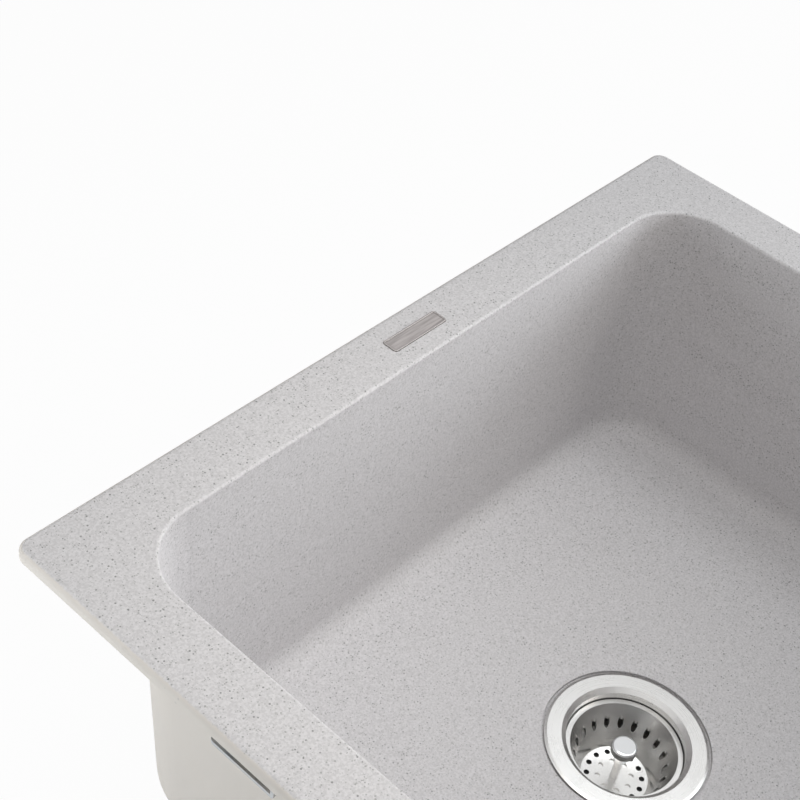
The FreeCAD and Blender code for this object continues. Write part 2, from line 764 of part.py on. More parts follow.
def make_basket():
    """The perforated basket with its lip."""
    body = new_body("basket")
    top_inner = f"{BASKET_RADIUS} - basket_lip"
    turn_round(
        body,
        [
            ("post_radius + post_fit", BASKET_BASE),
            ("basket_base_radius", BASKET_BASE),
            (top_inner, f"{BASKET_TOP} - basket_wall"),
            (BASKET_RADIUS, f"{BASKET_TOP} - basket_wall"),
            (BASKET_RADIUS, BASKET_TOP),
            (f"{top_inner} - basket_wall", BASKET_TOP),
            ("basket_base_radius - basket_wall", f"{BASKET_BASE} + basket_wall"),
            ("post_radius + post_fit", f"{BASKET_BASE} + basket_wall"),
        ],
    )
    for place, count in (
        ("basket_inner_ring", "basket_inner_holes"),
        ("basket_outer_ring", "basket_outer_holes"),
        (f"(basket_base_radius + {top_inner}) / 2", "basket_side_holes"),
    ):
        hole = new_sketch(body, BASKET_BASE)
        add_circle(hole, place, "0", "basket_hole_radius")
        repeat_round(body, drill_through(body, hole), count)
    return body


def make_basket_fittings():
    """The post with its knob, the stopper below the basket and what holds it on."""
    post = turned_part(
        "basket_post",
        [
            ("0", POST_TIP),
            ("post_tip_radius", POST_TIP),
            ("post_tip_radius", POST_NUT_BOTTOM),
            ("post_radius", POST_NUT_BOTTOM),
            ("post_radius", POST_TOP),
            ("0", POST_TOP),
        ],
    )
    socket = "post_radius + post_fit"
    knob = turned_part(
        "basket_knob",
        [
            (socket, KNOB_BASE),
            ("knob_neck_radius", KNOB_BASE),
            ("knob_neck_radius", KNOB_CAP),
            ("knob_radius", KNOB_CAP),
            ("knob_radius", KNOB_TOP),
            ("0", KNOB_TOP),
            ("0", POST_TOP),
            (socket, POST_TOP),
        ],
    )
    knob_top = knob.Shape.BoundBox.ZMax
    round_edges(knob, "knob_edge_radius", lambda box: is_at_level(box, knob_top))
    stopper = turned_part(
        "stopper_seal",
        [
            (socket, STOPPER_BOTTOM),
            (f"{STOPPER_RADIUS} - stopper_bevel", STOPPER_BOTTOM),
            (STOPPER_RADIUS, f"{STOPPER_BOTTOM} + stopper_bevel"),
            (STOPPER_RADIUS, STOPPER_TOP),
            (socket, STOPPER_TOP),
        ],
    )
    washer = ring("stopper_washer", socket, "stopper_washer_radius", STOPPER_TOP, BASKET_BASE)
    nut = new_body("post_nut")
    hexagon = new_sketch(nut, POST_NUT_BOTTOM)
    corner = "post_nut_flats / 2 / cos(30)"
    corners = [(f"{corner} * cos({60 * i})", f"{corner} * sin({60 * i})") for i in range(6)]
    add_outline(hexagon, corners)
    add_circle(hexagon, "0", "0", socket)
    pad(nut, hexagon, "post_nut_height")
    return [post, knob, stopper, washer, nut]


def write_parts(nodes):
    """Check every object and every node's shape, then write one file per node."""
    for item in doc.Objects:
        if "Invalid" in item.State or "Error" in item.State:
            raise RuntimeError("%s failed: %s" % (item.Label, item.State))
    for node in nodes:
        if node.Shape.isNull() or not node.Shape.isValid() or not node.Shape.Solids:
            raise RuntimeError("%s has no valid solid" % node.Label)
    os.makedirs("parts", exist_ok=True)
    for node in nodes:
        node.Shape.exportStep("parts/%s.step" % node.Label)
        box = node.Shape.BoundBox
        print(
            "%-16s solids %d  z %.2f to %.2f  volume %.1f"
            % (node.Label, len(node.Shape.Solids), box.ZMin, box.ZMax, node.Shape.Volume)
        )


nodes = [make_basin(), make_rim_seal(), make_strainer_cup(), make_crosspiece(), make_basket()]
nodes += make_badge() + make_clip_hardware() + make_cup_clamp() + make_outlet() + make_basket_fittings()
nodes += [make_claw(number, *clip) for number, clip in enumerate(CLIPS, start=1)]
doc.recompute()
write_parts(nodes)
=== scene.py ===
"""Looks of a drop-in granite kitchen sink: finishes for every solid, fine details, camera and light.

Metres. X runs to the right, Y to the back and Z up, with the worktop's top face at zero.
"""
import math

import bmesh
import bpy
from bpy.props import FloatProperty, FloatVectorProperty, PointerProperty
from bpy.types import Operator, Panel, PropertyGroup
from mathutils import Matrix, Vector


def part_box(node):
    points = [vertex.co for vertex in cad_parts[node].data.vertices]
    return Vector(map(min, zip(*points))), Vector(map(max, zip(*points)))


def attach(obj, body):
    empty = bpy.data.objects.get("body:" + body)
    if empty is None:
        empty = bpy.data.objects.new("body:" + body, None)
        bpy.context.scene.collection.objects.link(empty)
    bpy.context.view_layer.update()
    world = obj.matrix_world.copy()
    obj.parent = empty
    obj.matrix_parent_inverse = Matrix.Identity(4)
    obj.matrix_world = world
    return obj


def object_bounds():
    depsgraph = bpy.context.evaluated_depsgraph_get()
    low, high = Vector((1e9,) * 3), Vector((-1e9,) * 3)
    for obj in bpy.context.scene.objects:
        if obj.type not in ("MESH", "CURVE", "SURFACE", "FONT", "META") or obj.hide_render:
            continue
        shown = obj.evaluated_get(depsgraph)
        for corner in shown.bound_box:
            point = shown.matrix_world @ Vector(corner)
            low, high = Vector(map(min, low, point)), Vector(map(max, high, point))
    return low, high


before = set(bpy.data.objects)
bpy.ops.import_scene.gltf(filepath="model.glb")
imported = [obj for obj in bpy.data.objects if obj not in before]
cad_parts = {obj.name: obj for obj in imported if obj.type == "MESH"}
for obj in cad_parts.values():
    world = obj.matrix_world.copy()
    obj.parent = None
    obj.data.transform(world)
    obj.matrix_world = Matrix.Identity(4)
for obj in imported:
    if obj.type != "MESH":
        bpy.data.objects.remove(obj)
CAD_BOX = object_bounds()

bl_info = {
    "name": "Granite sink looks",
    "version": (1, 0, 0),
    "blender": (4, 5, 0),
    "location": "3D View > Sidebar > Granite sink",
    "description": "Finishes, fine details, camera and light for a drop-in granite sink",
    "category": "Object",
}

MM = 0.001
RIM_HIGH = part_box("sink_basin")[1]

# The casting's own sizes, as the solid has them
RIM_SIDE = 43.8 * MM
RIM_BACK = 43.0 * MM
BOWL_DEPTH = 210.5 * MM
BOWL_CORNER = 44.0 * MM
BOWL_DRAFT = math.tan(math.radians(2.5))
WALL = 10.0 * MM

# The line where the speckled face meets the raw back: on the rim's edge, in the wall, and under the floor
RAGGED = 0.4 * MM
RAGGED_SIZE = 1.8 * MM
EDGE_FADE = (1.1 * MM, 0.1 * MM)
WALL_FADE = (0.6 * WALL, 0.4 * WALL)
FLOOR_FADE = (9.0 * MM, 7.5 * MM)

# The stone's face. Edges are the noise levels between which one tone gives way to the next. A grain's radius
# is a share of the spacing, and its cover is the spread and the least of its strength
SAND_EDGES = (0.34, 0.66)
CLOUD_SIZE = 8.0 * MM
CLOUD_EDGES = (0.35, 0.65)
CLOUD_COVER = 0.16
FINE_RADIUS = 0.36
FINE_SHARE = 0.30
FINE_COVER = (0.52, 0.19)
FINE_SUNK = 0.2
BOLD_RADIUS = 0.24
BOLD_SHARE = 0.40
BOLD_COVER = (0.60, 0.17)
GLOSS_SIZE = 1.1 * MM
GLOSS_SPREAD = 0.16
PORE_SIZE = 1.4 * MM

# The stone's raw back: its clouds, its few specks, how much rougher it is than the face, and its orange peel
SKIN_CLOUD_SIZE = 40.0 * MM
SKIN_CLOUD_COVER = 0.22
SPECK_SPACING = 3.0
SPECK_RADIUS = 0.10
SPECK_SHARE = 0.35
SPECK_COVER = 0.20
RAW_ROUGHER = 0.18
PEEL_SIZE = 6.0 * MM
PEEL_HEIGHT = 2.0

# The badge: the painted shade in the sunk field beside its frame, measured in from its sides, and the frame's
# fade, measured down
PAINTED_SHADE_FADE = (2.6 * MM, 1.3 * MM)
FRAME_FADE = (0.28 * MM, 0.06 * MM)

# The badge's brushing: features per metre along and across the plate, and tones as shares of the plain colour
LINE_SCALE = (60.0, 2600.0, 2600.0)
LINE_SHARE = 0.3
STREAK_SCALE = (40.0, 750.0, 750.0)
STREAK_SHARE = 0.7
STREAK_EDGES = (0.36, 0.64)
STREAK_TONES = (0.76, 1.16)
STAIN_SIZE = 9.0 * MM
STAIN_COVER = 0.25
STAIN_TONE = 0.8
# Painted shade: how much the sunk field is darkened beside the frame, and the share of its colour it darkens
# to
PAINTED_SHADE_COVER = 0.4
PAINTED_SHADE_TONE = 0.5
FRAME_TONES = (0.84, 1.08)

# The shafts that carry threads: where the clips' screws stand, and the bare lengths of every shaft
SCREW_RADIUS = 2.2 * MM
SCREW_PLACES = [(side * 170.0 * MM, end * 229.5 * MM) for side in (-1, 1) for end in (-1, 1)]
SCREW_PLACES += [(side * 279.7 * MM, end * 105.0 * MM) for side in (-1, 1) for end in (-1, 1)]
SCREW_BARE = (-37.2 * MM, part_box("clip_dowels")[0].z)
CUP_RADIUS = 43.0 * MM
CUP_BARE = (-245.6 * MM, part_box("lock_nut")[0].z)
NECK_RADIUS = 23.5 * MM
NECK_BARE = (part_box("coupling_nut")[1].z, -256.2 * MM)
DRAIN_AXIS = [(0.0, 0.0)]

# A thread's ridge: half its foot and its tip as shares of the pitch, how deep it is sunk as a share of its
# height, the turns it takes to run out, and how much of it is left at the very end
RIDGE_FOOT = 0.44
RIDGE_TIP = 0.10
RIDGE_SUNK = 0.3
RUN_OUT = 0.3
RUN_OUT_END = 0.06
SCREW_STEPS = 24
CUP_STEPS = 96
NECK_STEPS = 72
SHARP_ANGLE = math.radians(30.0)

# The soft lamps: place, target, side and tint of each; the stage's settings hold the power
LAMP_AIM = (0.0, 0.0, -0.05)
WARM = (1.0, 0.95, 0.89)
COOL = (0.95, 0.98, 1.0)
LAMPS = {
    "top": ((0.52, 0.0, 1.88), LAMP_AIM, 1.0, COOL),
    "near": ((-0.15, 0.05, 0.45), (-0.15, 0.05, 0.0), 0.3, WARM),
    "front": ((0.82, -1.42, 1.10), LAMP_AIM, 1.0, WARM),
    "right": ((1.42, -0.82, 1.10), LAMP_AIM, 1.0, COOL),
    "low": ((1.38, -1.38, 0.37), LAMP_AIM, 0.6, COOL),
    "card": ((-0.80, 0.42, 0.03), (-0.30, 0.20, 0.0), 0.25, COOL),
}


class GraniteSettings(PropertyGroup):
    """The casting's stone: its face inside and on top, and its raw back."""

    face_colour: FloatVectorProperty(
        name="Face colour", description="Ground colour between the grains", subtype="COLOR",
        default=(0.724, 0.712, 0.726),
    )
    sand_colour: FloatVectorProperty(
        name="Sand colour", description="The finest grey sand in the ground", subtype="COLOR",
        default=(0.600, 0.590, 0.599),
    )
    grey_grain_colour: FloatVectorProperty(
        name="Grey grain colour", description="The fine grey grains", subtype="COLOR",
        default=(0.300, 0.305, 0.298),
    )
    dark_grain_colour: FloatVectorProperty(
        name="Dark grain colour", description="The darkest grains", subtype="COLOR",
        default=(0.150, 0.158, 0.152),
    )
    back_colour: FloatVectorProperty(
        name="Back colour", description="Cream skin of the sides and the underside", subtype="COLOR",
        default=(0.706, 0.664, 0.612),
    )
    sand_size: FloatProperty(
        name="Sand size", description="Size of the finest sand", unit="LENGTH",
        default=1.50 * MM, precision=5,
    )
    fine_spacing: FloatProperty(
        name="Fine grain spacing", description="Distance between fine grains", unit="LENGTH",
        default=1.25 * MM, precision=5,
    )
    bold_spacing: FloatProperty(
        name="Bold grain spacing", description="Distance between bold grains", unit="LENGTH",
        default=2.0 * MM, precision=5,
    )
    grain_depth: FloatProperty(
        name="Grain depth", description="Height of the surface grain", unit="LENGTH",
        default=0.10 * MM, precision=5,
    )
    roughness: FloatProperty(
        name="Roughness", description="Roughness of the face", subtype="FACTOR",
        default=0.58, min=0.0, max=1.0,
    )
    sheen: FloatProperty(
        name="Sheen", description="How much the face mirrors", subtype="FACTOR",
        default=0.3, min=0.0, max=1.0,
    )


class MetalSettings(PropertyGroup):
    """The badge, the clips' zinc and the strainer's stainless steel."""

    badge_colour: FloatVectorProperty(
        name="Badge colour", description="Raised frame of the badge", subtype="COLOR",
        default=(0.335, 0.315, 0.308),
    )
    field_colour: FloatVectorProperty(
        name="Field colour", description="Sunk brushed field of the badge", subtype="COLOR",
        default=(0.345, 0.321, 0.315),
    )
    steel_colour: FloatVectorProperty(
        name="Steel colour", description="Stainless steel of the strainer", subtype="COLOR",
        default=(0.620, 0.615, 0.605),
    )
    zinc_colour: FloatVectorProperty(
        name="Zinc colour", description="Plating of screws, washers and claws", subtype="COLOR",
        default=(0.540, 0.555, 0.570),
    )
    chrome_colour: FloatVectorProperty(
        name="Chrome colour", description="The basket's knob", subtype="COLOR", default=(0.690, 0.700, 0.710),
    )


class ThreadSettings(PropertyGroup):
    """The threads on the screws, the strainer cup and its neck."""

    screw_pitch: FloatProperty(
        name="Screw pitch", description="Rise of one turn on the clips' screws", unit="LENGTH",
        default=1.5 * MM, precision=5,
    )
    screw_height: FloatProperty(
        name="Screw ridge", description="Height of the ridge on the clips' screws", unit="LENGTH",
        default=0.45 * MM, precision=5,
    )
    cup_pitch: FloatProperty(
        name="Cup pitch", description="Rise of one turn on the cup", unit="LENGTH",
        default=2.6 * MM, precision=5,
    )
    cup_height: FloatProperty(
        name="Cup ridge", description="Height of the ridge on the cup", unit="LENGTH",
        default=0.9 * MM, precision=5,
    )
    neck_pitch: FloatProperty(
        name="Neck pitch", description="Rise of one turn on the cup's neck", unit="LENGTH",
        default=2.2 * MM, precision=5,
    )
    neck_height: FloatProperty(
        name="Neck ridge", description="Height of the ridge on the cup's neck", unit="LENGTH",
        default=0.8 * MM, precision=5,
    )


class PlasticSettings(PropertyGroup):
    """Plastic, rubber and card."""

    pipe_colour: FloatVectorProperty(
        name="Pipe colour", description="White outlet pipe", subtype="COLOR", default=(0.720, 0.720, 0.700),
    )
    nut_colour: FloatVectorProperty(
        name="Nut colour", description="Black moulded nuts", subtype="COLOR", default=(0.020, 0.020, 0.022),
    )
    dowel_colour: FloatVectorProperty(
        name="Dowel colour", description="Grey nylon dowels", subtype="COLOR", default=(0.320, 0.330, 0.340),
    )
    rubber_colour: FloatVectorProperty(
        name="Rubber colour", description="Black gaskets", subtype="COLOR", default=(0.022, 0.022, 0.023),
    )
    seal_colour: FloatVectorProperty(
        name="Seal colour", description="Foam strip under the rim", subtype="COLOR",
        default=(0.060, 0.060, 0.062),
    )
    card_colour: FloatVectorProperty(
        name="Card colour", description="Fibre washer", subtype="COLOR", default=(0.300, 0.205, 0.115),
    )
    glue_colour: FloatVectorProperty(
        name="Glue colour", description="Pad under the badge", subtype="COLOR", default=(0.560, 0.550, 0.500),
    )


class StageSettings(PropertyGroup):
    """Camera, light and floor."""

    camera_place: FloatVectorProperty(
        name="Camera place", description="Where the lens stands", subtype="XYZ", unit="LENGTH",
        default=(-0.63651, -0.23307, 0.67725), precision=5,
    )
    camera_target: FloatVectorProperty(
        name="Camera target", description="Point of the rim's plane in the middle of the picture",
        subtype="XYZ", unit="LENGTH", default=(-0.05656, 0.19369, 0.01000), precision=5,
    )
    camera_roll: FloatProperty(
        name="Camera roll", description="Turn of the camera about its line of sight", subtype="ANGLE",
        default=math.radians(9.3253),
    )
    lens: FloatProperty(
        name="Lens", description="Focal length in millimetres on a 36 mm sensor", default=71.305, precision=3,
    )
    top_power: FloatProperty(
        name="Top power", description="High lamp on the right, in watts", default=12.9,
    )
    near_power: FloatProperty(
        name="Near power", description="Small lamp close above the bowl, in watts", default=0.93,
    )
    front_power: FloatProperty(
        name="Front power", description="Lamp in front, in watts", default=7.5,
    )
    right_power: FloatProperty(
        name="Right power", description="Lamp off the front right corner, in watts", default=6.5,
    )
    low_power: FloatProperty(
        name="Low power", description="Low lamp off the front right corner, in watts", default=16.1,
    )
    card_power: FloatProperty(
        name="Card power", description="Reflector card off the back left corner, in watts", default=2.65,
    )
    sky_strength: FloatProperty(
        name="Sky strength", description="Light from the even surroundings", default=0.10,
    )
    floor_colour: FloatVectorProperty(
        name="Floor colour", description="Pale studio floor", subtype="COLOR", default=(0.86, 0.86, 0.86),
    )
    floor_size: FloatProperty(
        name="Floor size", description="Side of the floor", unit="LENGTH", default=14.0,
    )
    floor_glow: FloatProperty(
        name="Floor glow", description="How much of the floor's look is plain white", subtype="FACTOR",
        default=0.96, min=0.0, max=1.0,
    )


SETTINGS = (GraniteSettings, MetalSettings, ThreadSettings, PlasticSettings, StageSettings)
GROUPS = ("sink_granite", "sink_metal", "sink_thread", "sink_plastic", "sink_stage")


def new_tree(name):
    """A new material, its node tree and its surface shader."""
    material = bpy.data.materials.new(name)
    material.use_nodes = True
    return material, material.node_tree, material.node_tree.nodes["Principled BSDF"]


def wire(tree, value, socket):
    """Link a socket or set a number or colour."""
    if isinstance(value, bpy.types.NodeSocket):
        tree.links.new(value, socket)
    else:
        socket.default_value = value


def calc(tree, operation, *terms):
    """A math node on numbers or sockets."""
    node = tree.nodes.new("ShaderNodeMath")
    node.operation = operation
    for term, socket in zip(terms, node.inputs):
        wire(tree, term, socket)
    return node.outputs[0]


def ease(tree, value, start, end):
    """0 before the start and 1 after the end, with a smooth rise between."""
    node = tree.nodes.new("ShaderNodeMapRange")
    node.interpolation_type = "SMOOTHSTEP"
    wire(tree, value, node.inputs["Value"])
    wire(tree, start, node.inputs["From Min"])
    wire(tree, end, node.inputs["From Max"])
    return node.outputs["Result"]


def mix(tree, share, first, second):
    """The first colour at a share of 0 and the second at 1."""
    node = tree.nodes.new("ShaderNodeMix")
    node.data_type = "RGBA"
    wire(tree, share, node.inputs[0])
    wire(tree, first if isinstance(first, bpy.types.NodeSocket) else (*first, 1.0), node.inputs[6])
    wire(tree, second if isinstance(second, bpy.types.NodeSocket) else (*second, 1.0), node.inputs[7])
    return node.outputs[2]


def shade(colour, share):
    """The colour made darker or lighter by a share."""
    return [share * part for part in colour]


def here(tree):
    """The place on the part, in metres."""
    return tree.nodes.new("ShaderNodeTexCoord").outputs["Object"]


def stretch(tree, place, scale):
    """The place with each axis scaled."""
    node = tree.nodes.new("ShaderNodeMapping")
    tree.links.new(place, node.inputs["Vector"])
    node.inputs["Scale"].default_value = scale
    return node.outputs["Vector"]


def axes(tree, place):
    """The three coordinates of a place."""
    node = tree.nodes.new("ShaderNodeSeparateXYZ")
    tree.links.new(place, node.inputs[0])
    return node.outputs


def noise(tree, place, size, detail=2.0, roughness=0.5):
    """Soft random values whose features have about this size."""
    node = tree.nodes.new("ShaderNodeTexNoise")
    tree.links.new(place, node.inputs["Vector"])
    node.inputs["Scale"].default_value = 1.0 / size
    node.inputs["Detail"].default_value = detail
    node.inputs["Roughness"].default_value = roughness
    return node.outputs["Fac"]


def grains(tree, place, spacing, radius, share):
    """Grains scattered through the stone: 1 in a grain, and a random tone for each."""
    cells = tree.nodes.new("ShaderNodeTexVoronoi")
    tree.links.new(place, cells.inputs["Vector"])
    cells.inputs["Scale"].default_value = 1.0 / spacing
    lot = axes(tree, cells.outputs["Color"])
    reach = calc(tree, "MULTIPLY_ADD", lot[1], radius, radius * 0.55)
    inside = ease(tree, cells.outputs["Distance"], reach, calc(tree, "MULTIPLY", reach, 0.72))
    chosen = calc(tree, "LESS_THAN", lot[0], share)
    return calc(tree, "MULTIPLY", inside, chosen), lot[2]


def raise_by(tree, shader, height, depth, strength=1.0):
    """Let a height from 0 to 1 move the shading by up to this depth."""
    node = tree.nodes.new("ShaderNodeBump")
    tree.links.new(height, node.inputs["Height"])
    node.inputs["Distance"].default_value = depth
    node.inputs["Strength"].default_value = strength
    tree.links.new(node.outputs["Normal"], shader.inputs["Normal"])


def face_share(tree, place):
    """1 on the speckled face on top and in the bowl, 0 on the raw sides and back."""
    x, y, z = axes(tree, place)
    top = RIM_HIGH.z
    ragged = calc(tree, "MULTIPLY_ADD", noise(tree, place, RAGGED_SIZE), 2.0 * RAGGED, -RAGGED)
    on_top = ease(tree, calc(tree, "ADD", z, ragged), top - EDGE_FADE[0], top - EDGE_FADE[1])
    taper = calc(tree, "MULTIPLY", calc(tree, "SUBTRACT", top, z), BOWL_DRAFT)
    over = []
    for value, half in ((x, RIM_HIGH.x - RIM_SIDE), (y, RIM_HIGH.y - RIM_BACK)):
        away = calc(tree, "ADD", calc(tree, "ABSOLUTE", value), taper)
        over.append(calc(tree, "MAXIMUM", calc(tree, "SUBTRACT", away, half - BOWL_CORNER), 0.0))
    square = calc(tree, "ADD", calc(tree, "POWER", over[0], 2.0), calc(tree, "POWER", over[1], 2.0))
    outward = calc(tree, "SUBTRACT", calc(tree, "SQRT", square), BOWL_CORNER)
    in_bowl = ease(tree, outward, *WALL_FADE)
    above = ease(tree, z, top - BOWL_DEPTH - FLOOR_FADE[0], top - BOWL_DEPTH - FLOOR_FADE[1])
    return calc(tree, "MAXIMUM", on_top, calc(tree, "MULTIPLY", in_bowl, above))


def granite_finish(looks):
    """Speckled stone face with a plain cream back."""
    material, tree, shader = new_tree("granite")
    place = here(tree)
    sand = noise(tree, place, looks.sand_size, roughness=0.6)
    ground = mix(tree, ease(tree, sand, *SAND_EDGES), looks.sand_colour, looks.face_colour)
    cloud = ease(tree, noise(tree, place, CLOUD_SIZE), *CLOUD_EDGES)
    ground = mix(tree, calc(tree, "MULTIPLY", cloud, CLOUD_COVER), ground, looks.sand_colour)
    fine, tone = grains(tree, place, looks.fine_spacing, FINE_RADIUS, FINE_SHARE)
    cover = calc(tree, "MULTIPLY", fine, calc(tree, "MULTIPLY_ADD", tone, *FINE_COVER))
    ground = mix(tree, cover, ground, looks.grey_grain_colour)
    bold, tone = grains(tree, place, looks.bold_spacing, BOLD_RADIUS, BOLD_SHARE)
    cover = calc(tree, "MULTIPLY", bold, calc(tree, "MULTIPLY_ADD", tone, *BOLD_COVER))
    ground = mix(tree, cover, ground, looks.dark_grain_colour)
    clouded = calc(tree, "MULTIPLY", noise(tree, place, SKIN_CLOUD_SIZE, detail=4.0), SKIN_CLOUD_COVER)
    skin = mix(tree, clouded, looks.back_colour, looks.sand_colour)
    specks, _ = grains(tree, place, looks.bold_spacing * SPECK_SPACING, SPECK_RADIUS, SPECK_SHARE)
    skin = mix(tree, calc(tree, "MULTIPLY", specks, SPECK_COVER), skin, looks.grey_grain_colour)
    face = face_share(tree, place)
    tree.links.new(mix(tree, face, skin, ground), shader.inputs["Base Color"])
    gloss = noise(tree, place, GLOSS_SIZE)
    rough = calc(tree, "MULTIPLY_ADD", gloss, GLOSS_SPREAD, looks.roughness - GLOSS_SPREAD / 2)
    raw = calc(tree, "SUBTRACT", 1.0, face)
    tree.links.new(calc(tree, "MULTIPLY_ADD", raw, RAW_ROUGHER, rough), shader.inputs["Roughness"])
    peel = calc(tree, "MULTIPLY", noise(tree, place, PEEL_SIZE), calc(tree, "MULTIPLY", raw, PEEL_HEIGHT))
    pores = noise(tree, place, PORE_SIZE, detail=3.0, roughness=0.6)
    relief = calc(tree, "ADD", pores, calc(tree, "MULTIPLY", fine, -FINE_SUNK))
    relief = calc(tree, "ADD", relief, peel)
    raise_by(tree, shader, relief, looks.grain_depth)
    shader.inputs["Specular IOR Level"].default_value = looks.sheen
    return material


def badge_finish(looks):
    """Metal brushed along the plate, with a dulled sunk field that painted shade darkens beside its frame."""
    material, tree, shader = new_tree("badge_brushed")
    place = here(tree)
    lines = noise(tree, stretch(tree, place, LINE_SCALE), 1.0, detail=3.0, roughness=0.6)
    streaks = noise(tree, stretch(tree, place, STREAK_SCALE), 1.0, roughness=0.6)
    streaks = calc(tree, "MULTIPLY_ADD", streaks, STREAK_SHARE, calc(tree, "MULTIPLY", lines, LINE_SHARE))
    streaks = ease(tree, streaks, *STREAK_EDGES)
    stain = noise(tree, place, STAIN_SIZE)
    low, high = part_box("badge_plate")
    x, y, z = axes(tree, place)
    inset = []
    for value, start, end in ((x, low.x, high.x), (y, low.y, high.y)):
        off = calc(tree, "ABSOLUTE", calc(tree, "SUBTRACT", value, (start + end) / 2))
        inset.append(calc(tree, "SUBTRACT", (end - start) / 2, off))
    # Painted shade: a mask that rises near the plate's sides, beside the frame, where the sunk field lies in
    # shade
    painted_shade = ease(tree, calc(tree, "MINIMUM", *inset), *PAINTED_SHADE_FADE)
    frame_share = ease(tree, z, high.z - FRAME_FADE[0], high.z - FRAME_FADE[1])
    bright, dull = looks.badge_colour, looks.field_colour
    tone = mix(tree, streaks, *[shade(dull, share) for share in STREAK_TONES])
    tone = mix(tree, calc(tree, "MULTIPLY", stain, STAIN_COVER), tone, shade(dull, STAIN_TONE))
    # The painted shade darkens the field's tone beside the frame
    tone = mix(tree, calc(tree, "MULTIPLY", painted_shade, PAINTED_SHADE_COVER), tone, shade(dull, PAINTED_SHADE_TONE))
    edge = mix(tree, lines, *[shade(bright, share) for share in FRAME_TONES])
    tree.links.new(mix(tree, frame_share, tone, edge), shader.inputs["Base Color"])
    tree.links.new(calc(tree, "MULTIPLY_ADD", lines, 0.25, 0.38), shader.inputs["Roughness"])
    shader.inputs["Metallic"].default_value = 1.0
    raise_by(tree, shader, lines, 0.02 * MM)
    return material


def turned_finish(name, colour, roughness, pitch, depth):
    """Metal with the fine rings that turning and spinning leave round the drain's axis."""
    material, tree, shader = new_tree(name)
    place = here(tree)
    x, y, z = axes(tree, place)
    radius = calc(tree, "SQRT", calc(tree, "ADD", calc(tree, "POWER", x, 2.0), calc(tree, "POWER", y, 2.0)))
    along = calc(tree, "ADD", radius, z)
    joined = tree.nodes.new("ShaderNodeCombineXYZ")
    tree.links.new(along, joined.inputs["X"])
    rings = noise(tree, joined.outputs[0], pitch, detail=3.0, roughness=0.65)
    smear = noise(tree, place, 14 * MM, detail=3.0)
    tone = mix(tree, rings, shade(colour, 0.88), shade(colour, 1.08))
    tree.links.new(tone, shader.inputs["Base Color"])
    rough = calc(tree, "MULTIPLY_ADD", rings, 0.12, roughness - 0.06)
    rough = calc(tree, "MULTIPLY_ADD", smear, 0.12, calc(tree, "SUBTRACT", rough, 0.06))
    tree.links.new(rough, shader.inputs["Roughness"])
    shader.inputs["Metallic"].default_value = 1.0
    raise_by(tree, shader, rings, depth)
    return material


def zinc_finish(looks):
    """Plated steel with faint crystals and dull spots."""
    material, tree, shader = new_tree("zinc_plating")
    place = here(tree)
    crystals = tree.nodes.new("ShaderNodeTexVoronoi")
    tree.links.new(place, crystals.inputs["Vector"])
    crystals.inputs["Scale"].default_value = 1.0 / (1.6 * MM)
    facet = axes(tree, crystals.outputs["Color"])[0]
    dull = noise(tree, place, 6 * MM, detail=3.0)
    tone = mix(tree, facet, looks.zinc_colour, shade(looks.zinc_colour, 0.86))
    yellowed = (0.560, 0.520, 0.420)
    tone = mix(tree, calc(tree, "MULTIPLY", ease(tree, dull, 0.5, 0.75), 0.35), tone, yellowed)
    tree.links.new(tone, shader.inputs["Base Color"])
    tree.links.new(calc(tree, "MULTIPLY_ADD", dull, 0.25, 0.22), shader.inputs["Roughness"])
    shader.inputs["Metallic"].default_value = 1.0
    raise_by(tree, shader, noise(tree, place, 0.5 * MM), 0.015 * MM)
    return material


def moulded_finish(name, colour, roughness, grain, depth):
    """Plastic or rubber with a fine skin, and a little paler where it is handled."""
    material, tree, shader = new_tree(name)
    place = here(tree)
    skin = noise(tree, place, grain, detail=3.0, roughness=0.6)
    haze = noise(tree, place, 12 * MM, detail=3.0)
    pale = [min(1.0, part * 1.18 + 0.012) for part in colour]
    tree.links.new(mix(tree, calc(tree, "MULTIPLY", haze, 0.7), colour, pale), shader.inputs["Base Color"])
    tree.links.new(calc(tree, "MULTIPLY_ADD", skin, 0.22, roughness - 0.11), shader.inputs["Roughness"])
    raise_by(tree, shader, skin, depth)
    return material


def card_finish(looks):
    """Pressed fibre with short strands."""
    material, tree, shader = new_tree("fibre_card")
    place = here(tree)
    strands = noise(tree, stretch(tree, place, (900.0, 260.0, 900.0)), 1.0, detail=4.0, roughness=0.7)
    tone = mix(tree, strands, shade(looks.card_colour, 0.6), shade(looks.card_colour, 1.35))
    tree.links.new(tone, shader.inputs["Base Color"])
    shader.inputs["Roughness"].default_value = 0.9
    raise_by(tree, shader, strands, 0.08 * MM)
    return material


def paint(node, material):
    """Give a solid its finish."""
    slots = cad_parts[node].material_slots
    if not slots:
        raise RuntimeError(node + " has no material slot")
    for entry in slots:
        entry.material = material


def wind_ridge(build, centre, bare, radius, height, pitch, steps):
    """One thread: a ridge wound up a shaft, sunk a little into it and run out at both ends."""
    foot, tip = RIDGE_FOOT * pitch, RIDGE_TIP * pitch
    sunk = radius - RIDGE_SUNK * height
    low, high = bare[0] + foot, bare[1] - foot
    count = int(steps * (high - low) / pitch)
    run_out = RUN_OUT * steps
    previous = None
    for i in range(count + 1):
        angle = 2.0 * math.pi * i / steps
        level = low + pitch * i / steps
        share = max(RUN_OUT_END, min(1.0, i / run_out, (count - i) / run_out))
        crest = sunk + (radius + height - sunk) * share
        ring = []
        for reach, lift in ((sunk, -foot), (crest, -tip), (crest, tip), (sunk, foot)):
            across = centre[0] + reach * math.cos(angle)
            deep = centre[1] + reach * math.sin(angle)
            ring.append(build.verts.new((across, deep, level + lift * share)))
        if previous:
            for k in range(4):
                build.faces.new((previous[k], ring[k], ring[(k + 1) % 4], previous[(k + 1) % 4]))
        else:
            build.faces.new(ring)
        previous = ring
    build.faces.new(previous[::-1])


